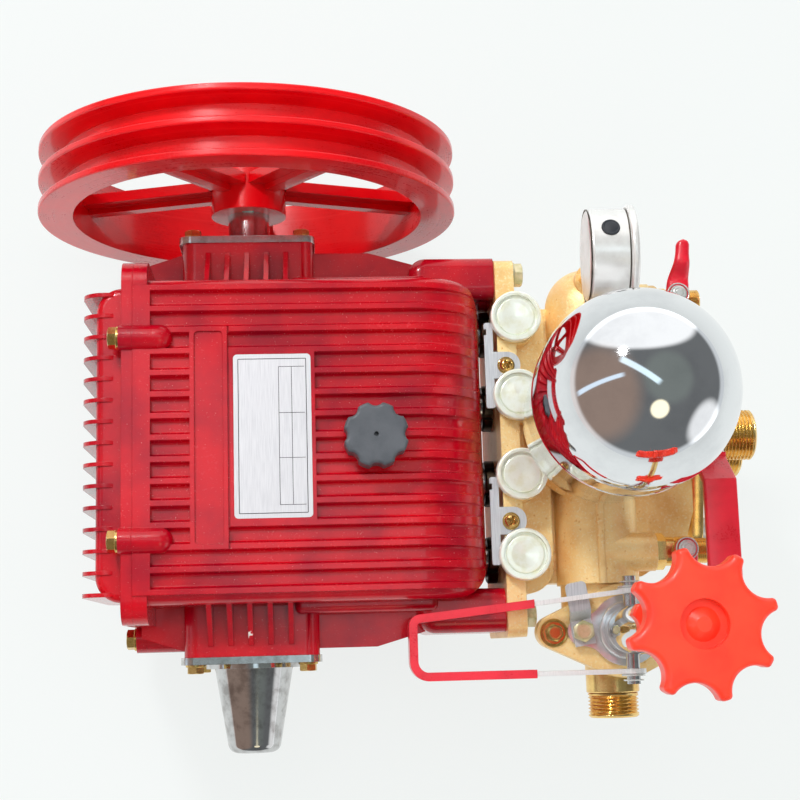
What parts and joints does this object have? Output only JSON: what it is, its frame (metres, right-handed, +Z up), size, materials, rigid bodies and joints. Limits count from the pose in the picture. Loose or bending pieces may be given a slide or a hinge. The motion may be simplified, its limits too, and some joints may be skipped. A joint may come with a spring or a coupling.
{
  "type": "pressure washer pump",
  "caption": "Belt-driven plunger pump: ribbed crankcase with a grooved pulley, brass valve block and manifold, air chamber, gauge, pressure regulator and ball valves.",
  "frame": {"origin": "on the underside of the feet, midway between the four foot holes", "axes": "+X from the crankcase towards the outlets, +Y towards the pulley along the crank, +Z up"},
  "size_m": [0.4795, 0.4025, 0.4],
  "materials": {
    "red_casting": "gloss paint over a sand casting",
    "red_pulley": "gloss paint",
    "brushed_plate": "brushed",
    "yellow_zinc": "yellow-green zinc plating",
    "sight_window": "clear yellowish plastic",
    "dark_plastic": "moulded, satin",
    "bright_steel": "turned and plated",
    "grey_steel": "dull zinc",
    "dark_steel": "oiled, dark",
    "bright_cover": "bright sheet",
    "chrome": "mirror plated",
    "stainless": "satin stainless",
    "cast_brass": "sand-cast surface",
    "turned_brass": "turned",
    "dial_face": "white dial",
    "gauge_glass": "clear",
    "dark_rubber": "matt",
    "orange_plastic": "moulded, satin",
    "red_vinyl": "dipped vinyl"
  },
  "bodies": {
    "pump": {"crankcase": "red_casting", "rear_cover": "red_casting", "nameplate": "brushed_plate", "drain_plug": "yellow_zinc", "sight_glass": "sight_window", "bearing_cover": "bright_cover", "end_cover": "bright_cover", "shaft_guard": "chrome", "cylinder_block": "cast_brass", "valve_caps": "yellow_zinc", "plungers": "bright_steel", "gland_nuts": "dark_steel", "lock_plates": "grey_steel", "delivery_manifold": "cast_brass", "suction_manifold": "cast_brass", "suction_inlet": "turned_brass", "air_chamber": "chrome", "gauge_case": "stainless", "gauge_bezel": "stainless", "gauge_dial": "dial_face", "gauge_glass": "gauge_glass", "gauge_pointer": "dark_plastic", "gauge_plug": "dark_rubber", "gauge_stem": "turned_brass", "regulator_body": "cast_brass", "bypass_outlet": "turned_brass", "regulator_plate": "chrome", "regulator_cap": "chrome", "lock_nut": "orange_plastic", "lever_pin": "bright_steel", "lever_stop": "grey_steel", "main_valve": "turned_brass", "small_valve_pulley_side": "turned_brass", "small_valve_regulator_side": "turned_brass"},
    "crank": {"crankshaft": "bright_steel", "pulley": "red_pulley"},
    "adjuster": {"adjusting_screw": "turned_brass", "handwheel": "orange_plastic"},
    "unloader": {"relief_lever": "bright_steel", "relief_grip": "red_vinyl"},
    "main_handle": {"main_valve_lever": "bright_steel", "main_valve_grip": "red_vinyl"},
    "small_handle_pulley_side": {"small_lever_pulley_side": "red_vinyl"},
    "small_handle_regulator_side": {"small_lever_regulator_side": "red_vinyl"},
    "filler": {"oil_filler_cap": "dark_plastic"}
  },
  "joints": [
    {"name": "crank_turn", "type": "hinge", "parent": "pump", "child": "crank", "pos_m": [-0.03, 0, 0.15], "axis": [0, 1, 0], "continuous": true},
    {"name": "handwheel_turn", "type": "hinge", "parent": "pump", "child": "adjuster", "pos_m": [0.208, -0.124, 0.37], "axis": [0, 0, 1], "range_deg": [-900, 450]},
    {"name": "relief_lever_lift", "type": "hinge", "parent": "pump", "child": "unloader", "pos_m": [0.208, -0.124, 0.212], "axis": [0, 1, 0], "range_deg": [0, 70]},
    {"name": "main_valve_turn", "type": "hinge", "parent": "pump", "child": "main_handle", "pos_m": [0.2623, 0.002, 0.218], "axis": [0, 0, 1], "range_deg": [0, 90]},
    {"name": "small_valve_turn_pulley_side", "type": "hinge", "parent": "pump", "child": "small_handle_pulley_side", "pos_m": [0.251, 0.092, 0.202], "axis": [0, 0, 1], "range_deg": [-90, 0]},
    {"name": "small_valve_turn_regulator_side", "type": "hinge", "parent": "pump", "child": "small_handle_regulator_side", "pos_m": [0.247, -0.074, 0.202], "axis": [0, 0, 1], "range_deg": [0, 90]},
    {"name": "oil_filler_turn", "type": "hinge", "parent": "pump", "child": "filler", "pos_m": [0.049, -0.003, 0.24], "axis": [0, 0, 1], "range_deg": [0, 900]}
  ]
}
